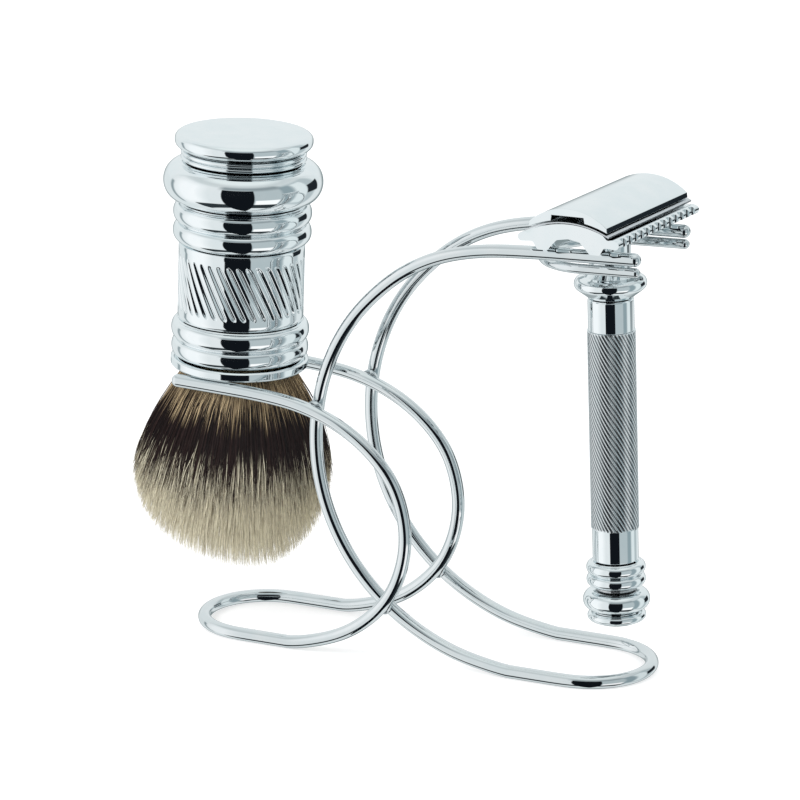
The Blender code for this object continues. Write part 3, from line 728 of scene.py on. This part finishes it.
def hair_mesh(name, paths, own, lock):
    """Three-sided tapering tubes along the hairs, with attributes for their colour."""
    count, rings = paths.shape[:2]
    way = np.gradient(paths, axis=1)
    way /= np.linalg.norm(way, axis=2, keepdims=True)
    side = np.cross(way, np.array([0.31, 0.87, 0.38]))
    side /= np.linalg.norm(side, axis=2, keepdims=True)
    other = np.cross(way, side)
    steps = np.linspace(0, 1, rings)
    swell = np.sin(math.pi * np.minimum(steps * 1.2, 1.0))
    thick = HAIR_R * (0.85 + 0.35 * swell - 0.6 * steps ** 6)
    verts = np.zeros((count, rings, 3, 3))
    for k in range(3):
        a = math.tau * k / 3
        ring = side * math.cos(a) + other * math.sin(a)
        verts[:, :, k] = paths + ring * thick[None, :, None]
    one = []
    for i in range(rings - 1):
        for k in range(3):
            n = (k + 1) % 3
            one.append((i * 3 + k, i * 3 + n, i * 3 + 3 + n, i * 3 + 3 + k))
    quads = (np.array(one)[None] + (np.arange(count) * rings * 3)[:, None, None]).reshape(-1, 4)
    ends = np.array([(2, 1, 0), tuple((rings - 1) * 3 + k for k in range(3))])
    caps = (ends[None] + (np.arange(count) * rings * 3)[:, None, None]).reshape(-1, 3)
    mesh = bpy.data.meshes.new(name)
    mesh.from_pydata(verts.reshape(-1, 3).tolist(), [], quads.tolist() + caps.tolist())
    pieces = np.linalg.norm(np.diff(paths, axis=1), axis=2)
    run = np.concatenate([np.zeros((count, 1)), np.cumsum(pieces, axis=1)], axis=1)
    for key, values in (("along_mm", run / MM), ("own", np.repeat(own[:, None], rings, 1)),
                        ("lock", np.repeat(lock[:, None], rings, 1))):
        layer = mesh.attributes.new(key, "FLOAT", "POINT")
        at_points = np.repeat(values[:, :, None], 3, 2).astype(np.float32)
        layer.data.foreach_set("value", at_points.ravel())
    mesh.shade_smooth()
    obj = bpy.data.objects.new(name, mesh)
    obj.visible_glossy = False
    bpy.context.scene.collection.objects.link(obj)
    return obj


def build_hair(mats, matrix):
    """The knot: lots of hairs, most of them near its outside."""
    rng = np.random.default_rng(7)
    for tuft in range(HAIR_TUFTS):
        bias = 0.5 if tuft < 3 else 0.16
        paths, own, lock = hair_paths(rng, HAIRS_IN_TUFT, bias)
        hair = hair_mesh("brush_hair_%d" % (tuft + 1), paths, own, lock)
        dress(hair, mats["hair"], "brush_body", "brush_hair_knot", matrix)


# ============================================================================ the razor
def domed(xs, top, radius):
    """Points across the head on an arc whose highest point is at top."""
    return [(x, top - radius + math.sqrt(radius ** 2 - x ** 2)) for x in xs]


def blade_outline():
    """The blade's section: a thin strip bent over the base plate."""
    xs = np.linspace(-BLADE_HALF_WIDTH, BLADE_HALF_WIDTH, 41)
    return domed(xs, *BLADE_OVER) + domed(xs[::-1], *BLADE_UNDER)


def cap_outline():
    """The clamping cap's section: domed above, with a bearing land each side below."""
    over = domed(np.linspace(-CAP_HALF_WIDTH, CAP_HALF_WIDTH, 49), CAP_TOP, CAP_DOME_R)
    land = domed(np.linspace(CAP_HALF_WIDTH + 0.1, 4.4, 12), LAND_Z, LAND_R)
    return over + land + [(4.2, 8.9), (-4.2, 8.9)] + [(-x, z) for x, z in reversed(land)]


def plate_outline():
    """The base plate's section: domed bed, a guard bar each side, an arch beneath."""
    crown = domed(np.linspace(0, 9.2, 14), BED_Z, BED_R)
    guard = [(10.3, 4.0), (11.6, 4.3), (12.9, 3.9), (13.4, 3.2), (13.2, 2.4), (12.6, 2.0)]
    under = [(9.4, 2.2), (8.2, 0.3), (5.6, 0.3), (4.6, 1.4), (3.0, 3.0), (0.0, 3.5)]
    half = eased(crown + guard + under, False, 0.9, 5, 12.0)
    return [tuple(p) for p in half] + [(-x, z) for x, z in reversed(half[1:-1])]


def build_head(mats, matrix):
    """Base plate with its combs, blade and cap."""
    notches = []
    for sign in (-1, 1):
        for k in range(COMB_NOTCHES):
            y = (k - (COMB_NOTCHES - 1) / 2) * COMB_PITCH
            notches.append((sign * NOTCH_X, y, 3.0, NOTCH_R, 8.0))
    boss = [(0.0, 0.0, 2.6, BOSS_R, 4.6)]
    holes = [(0.0, 0.0, 5.0, STUD_HOLE_R, 20.0)]
    holes += [(0.0, y, 5.5, PIN_HOLE_R, 8.0) for y in (-PIN_Y, PIN_Y)]
    plate = worked(prism("razor_base_plate_cut", plate_outline(), HEAD_HALF),
                   [("UNION", boss), ("DIFFERENCE", holes), ("DIFFERENCE", notches)], 0.12, 2)
    dress(plate, mats["plate"], "razor_body", "razor_base_plate", matrix)
    slot = [(0.0, 0.0, 7.5, SLOT_R, 10.0, SLOT_REACH)]
    blade = worked(prism("razor_blade_strip", blade_outline(), BLADE_HALF), [("DIFFERENCE", slot)])
    dress(blade, mats["blade"], "razor_body", "razor_blade", matrix)
    sockets = [(0.0, 0.0, LAND_Z, STUD_HOLE_R, 4.0)]
    sockets += [(0.0, y, LAND_Z, PIN_HOLE_R, 4.0) for y in (-PIN_Y, PIN_Y)]
    cap = worked(prism("razor_cap_dome", cap_outline(), HEAD_HALF), [("DIFFERENCE", sockets)], 0.1)
    dress(cap, mats["plate"], "cap_body", "razor_cap", matrix)


def razor_profiles():
    """Turned razor pieces as (node, body, profile in mm)."""
    b = RAZOR_BORE
    collar = [(1.8, 0.0), (4.6, 0.0), (5.0, -0.4), (5.0, -8.2), (6.4, -9.6)]
    collar += arc(7.0, -11.5, 1.7, 80, -50, 24) + [(6.0, -14.4), (5.4, -14.9), (1.8, -14.9)]
    tail = [(b, -80.3), (5.8, -80.3)] + bead(6.0, 7.15, -80.5, -83.3)
    tail += bead(6.0, 7.15, -83.5, -86.3) + [(5.6, -86.5), (b, -86.5)]
    knob = [(b, -87.6), (5.8, -87.6)] + bead(6.2, 8.1, -87.8, -92.2, 31)
    knob += [(5.8, -92.4), (b, -92.4)]
    button = [(0, -92.7), (5.6, -92.7)] + bead(5.8, 7.1, -92.9, -95.2)
    button += [(5.2, -95.6), (0, -95.8)]
    return [("razor_neck_collar", "razor_body", collar), ("razor_tail_ferrule", "razor_body", tail),
            ("razor_knob", "knob_body", knob), ("razor_end_button", "knob_body", button)]


def knurl_depth(across, angle, z):
    """Slanting ridges crossed by finer, shallower lines."""
    low, high = KNURL_BAND
    inside = min(z - low, high - z)
    if inside <= 0:
        return 0.0
    fade = min(inside / KNURL_FADE, 1.0)
    main = 1 - abs(2 * across)
    cross = 0.5 + 0.5 * math.cos(KNURL_CROSS * (angle - KNURL_CROSS_TURN * z))
    return fade * KNURL_DEPTH * (0.9 * main + 0.1 * cross)


def knurl_rows():
    """Radius and height down the knurled length, close together."""
    low, high = KNURL_BAND
    return [(KNURL_R, z) for z in np.linspace(high, low, 211)]


def build_handle(mats, matrix):
    """Collar, tube with its knurled length, ferrule, turning knob and end button."""
    for node, body, profile in razor_profiles():
        piece = turned(node + "_turned", profile, RAZOR_STEPS)
        dress(piece, mats["turned"], body, node, matrix)
    b = RAZOR_BORE
    end, start = TUBE_SPAN
    low, high = KNURL_BAND
    neck = [(b, start), (TUBE_R - 0.25, start), (TUBE_R, start - 0.4), (TUBE_R, high), (b, high)]
    foot = [(b, low), (TUBE_R, low), (TUBE_R, end + 0.2), (TUBE_R - 0.15, end), (b, end)]
    for name, profile in (("razor_handle_neck", neck), ("razor_handle_foot", foot)):
        piece = turned(name, profile, RAZOR_STEPS)
        dress(piece, mats["turned"], "razor_body", "razor_handle_tube", matrix)
    handle = grooved("razor_handle_knurled", knurl_rows(), KNURL_COUNT, 10, KNURL_TURN,
                     KNURL_BAND, RAZOR_BORE, knurl_depth)
    dress(handle, mats["knurl"], "razor_body", "razor_handle_tube", matrix)


# ============================================================================ the rest
def frames():
    """The brush's and the razor's own frames, read from their central rods."""
    def centre(node):
        low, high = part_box(node)
        return (low + high) / 2
    lean = Matrix.Rotation(FORK_RISE, 4, "Y")
    foot = centre("brush_tie_rod") - lean.to_3x3() @ Vector((0, 0, BRUSH_ROD_MID))
    brush = Matrix.Translation(foot) @ lean
    hang = Matrix.Rotation(-FORK_RISE, 4, "Y") @ Matrix.Rotation(RAZOR_YAW, 4, "Z")
    seat = centre("razor_cap_stud") - hang.to_3x3() @ Vector((0, 0, STUD_MID))
    return brush, Matrix.Translation(seat) @ hang


def finish_inner(mats):
    """Give the solids that stay their own materials."""
    for node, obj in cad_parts.items():
        mat = mats["steel"]
        if node.startswith("braze"):
            mat = mats["braze"]
        elif node == "brush_tie_nut":
            mat = mats["brass"]
        elif node == "brush_knot_plug":
            mat = mats["resin"]
        elif node.startswith("razor_cap_pin"):
            mat = mats["plate"]
        obj.data.materials.clear()
        obj.data.materials.append(mat)


def build_floor():
    """A plain pale floor, left out of mirror reflections."""
    side = FLOOR_HALF
    verts = [(-side, -side, 0.0), (side, -side, 0.0), (side, side, 0.0), (-side, side, 0.0)]
    floor = mesh_piece("floor", verts, [(0, 1, 2, 3)])
    floor.data.materials.append(floor_finish())
    floor.visible_glossy = False


def build_camera():
    """The camera at the reference viewing angle."""
    data = bpy.data.cameras.new("camera")
    data.lens = CAMERA_LENS
    data.clip_start = 0.01
    camera = bpy.data.objects.new("camera", data)
    camera.location = CAMERA_AT
    camera.rotation_euler = (math.pi / 2 + CAMERA_PITCH, 0.0, CAMERA_YAW)
    bpy.context.scene.collection.objects.link(camera)
    bpy.context.scene.camera = camera


def soft_light(name, at, size, power):
    """A large soft lamp aimed at the set, not mirrored in the metal."""
    data = bpy.data.lights.new(name, "AREA")
    data.shape = "SQUARE"
    data.size = size
    data.energy = power
    lamp = bpy.data.objects.new(name, data)
    lamp.location = at
    aim = Vector((0.0, 0.0, 0.05)) - Vector(at)
    lamp.rotation_euler = aim.to_track_quat("-Z", "Y").to_euler()
    lamp.visible_glossy = False
    bpy.context.scene.collection.objects.link(lamp)


def studio_patch(tree, turn, rise, span, heights, soft):
    """A soft-edged patch of the studio's surroundings, in degrees."""
    edges = []
    for value, (low, high) in ((turn, span), (rise, heights)):
        edges.append(spread(tree, value, 0.0, 1.0, low - soft / 2, low + soft / 2))
        edges.append(spread(tree, value, 1.0, 0.0, high - soft / 2, high + soft / 2))
    mask = math_node(tree, "MULTIPLY", edges[0], edges[1])
    mask = math_node(tree, "MULTIPLY", mask, edges[2])
    return math_node(tree, "MULTIPLY", mask, edges[3])


def build_studio():
    """White surroundings, with the panels and gaps that polished metal mirrors."""
    world = bpy.data.worlds.new("studio")
    bpy.context.scene.world = world
    world.use_nodes = True
    tree = world.node_tree
    view = tree.nodes["Background"]
    way = add(tree, "ShaderNodeTexCoord").outputs["Generated"]
    facing = math.atan2(CAMERA_AT[1], CAMERA_AT[0])
    turned_way = add(tree, "ShaderNodeVectorRotate", {"Vector": way, "Angle": -facing},
                     rotation_type="Z_AXIS").outputs[0]
    part = add(tree, "ShaderNodeSeparateXYZ", {0: turned_way})
    to_degrees = 180.0 / math.pi
    turn = math_node(tree, "MULTIPLY", math_node(tree, "ARCTAN2", part.outputs[1], part.outputs[0]),
                     to_degrees)
    rise = math_node(tree, "MULTIPLY", math_node(tree, "ARCSINE", part.outputs[2]), to_degrees)
    # (colour, across from-to, up from-to, soft edge), the camera's side being 0 across
    patches = [
        # overhead
        ((0.66, 0.71, 0.72), (-200, 200), (38, 70), 26.0),
        ((0.86, 0.92, 0.92), (-200, 200), (64, 100), 14.0),
        # the bright panel on the left
        ((0.84, 0.88, 0.89), (-122, -26), (-46, 40), 8.0),
        ((1.04, 1.06, 1.07), (-108, -62), (-44, 36), 22.0),
        # the greyer panels on the right, and the shade above them
        ((0.50, 0.57, 0.59), (14, 126), (-46, 42), 8.0),
        ((0.30, 0.38, 0.41), (60, 80), (-40, 36), 6.0),
        ((0.80, 0.87, 0.88), (84, 106), (-40, 36), 5.0),
        ((0.30, 0.35, 0.37), (-34, 64), (30, 48), 12.0),
        ((1.12, 1.12, 1.12), (20, 58), (-43, -21), 2.5),
        # the table's dark edge, and dark gaps at the sides
        ((0.03, 0.04, 0.045), (-92, 72), (-64, -43), 2.5),
        ((0.30, 0.36, 0.38), (-124, -116), (-40, 10), 5.0),
        ((0.015, 0.02, 0.025), (107, 134), (-13, 12), 2.5),
        # behind the set: grey low down and pale above
        ((0.24, 0.29, 0.30), (156, 200), (-70, -2), 12.0),
        ((0.36, 0.41, 0.42), (-200, -158), (-70, -2), 12.0),
        ((0.84, 0.89, 0.90), (-200, -128), (6, 60), 8.0),
        ((0.84, 0.89, 0.90), (140, 200), (6, 60), 8.0),
        # the black gap in front
        ((0.006, 0.008, 0.011), (-30, 18), (-90, 30), 1.6),
    ]
    tone = (0.80, 0.85, 0.86, 1.0)
    for colour, span, heights, soft in patches:
        mask = studio_patch(tree, turn, rise, span, heights, soft)
        tone = mixed(tree, mask, tone, (*colour, 1.0))
    mirror = add(tree, "ShaderNodeLightPath").outputs["Is Glossy Ray"]
    tree.links.new(mixed(tree, mirror, (1.0, 1.0, 1.0, 1.0), tone), view.inputs["Color"])
    view.inputs["Strength"].default_value = 1.0
    bpy.context.scene.view_settings.view_transform = "Standard"


def main():
    """Build the set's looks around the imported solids."""
    build_camera()
    build_studio()
    build_floor()
    soft_light("key_lamp", (-0.5, -0.9, 0.9), 0.7, 9.0)
    soft_light("fill_lamp", (0.9, -0.2, 0.6), 0.7, 3.0)
    mats = {
        "wire": chrome_finish("chrome_wire", 0.02, 0.07, (900.0, 900.0, 900.0), 0.0000006, 0.88),
        "turned": chrome_finish("chrome_turned", 0.015, 0.06, (120.0, 120.0, 6000.0), 0.0000006),
        "plate": chrome_finish("chrome_plate", 0.02, 0.07, (4000.0, 150.0, 4000.0), 0.0000008),
        "knurl": knurl_finish(),
        "braze": braze_finish(),
        "steel": steel_finish("steel", (0.38, 0.39, 0.40, 1), (0.62, 0.63, 0.64, 1),
                              (300.0, 300.0, 7000.0), 0.2, 0.4),
        "blade": steel_finish("blade_steel", (0.45, 0.47, 0.50, 1), (0.66, 0.68, 0.70, 1),
                              (7000.0, 250.0, 7000.0), 0.14, 0.3),
        "brass": steel_finish("brass", (0.60, 0.42, 0.16, 1), (0.84, 0.66, 0.34, 1),
                              (300.0, 300.0, 5000.0), 0.2, 0.36),
        "resin": resin_finish(),
        "hair": hair_finish(),
    }
    finish_inner(mats)
    brush, razor = frames()
    build_stand(mats)
    build_brush(mats, brush)
    build_hair(mats, brush)
    build_head(mats, razor)
    build_handle(mats, razor)
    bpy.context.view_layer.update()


main()
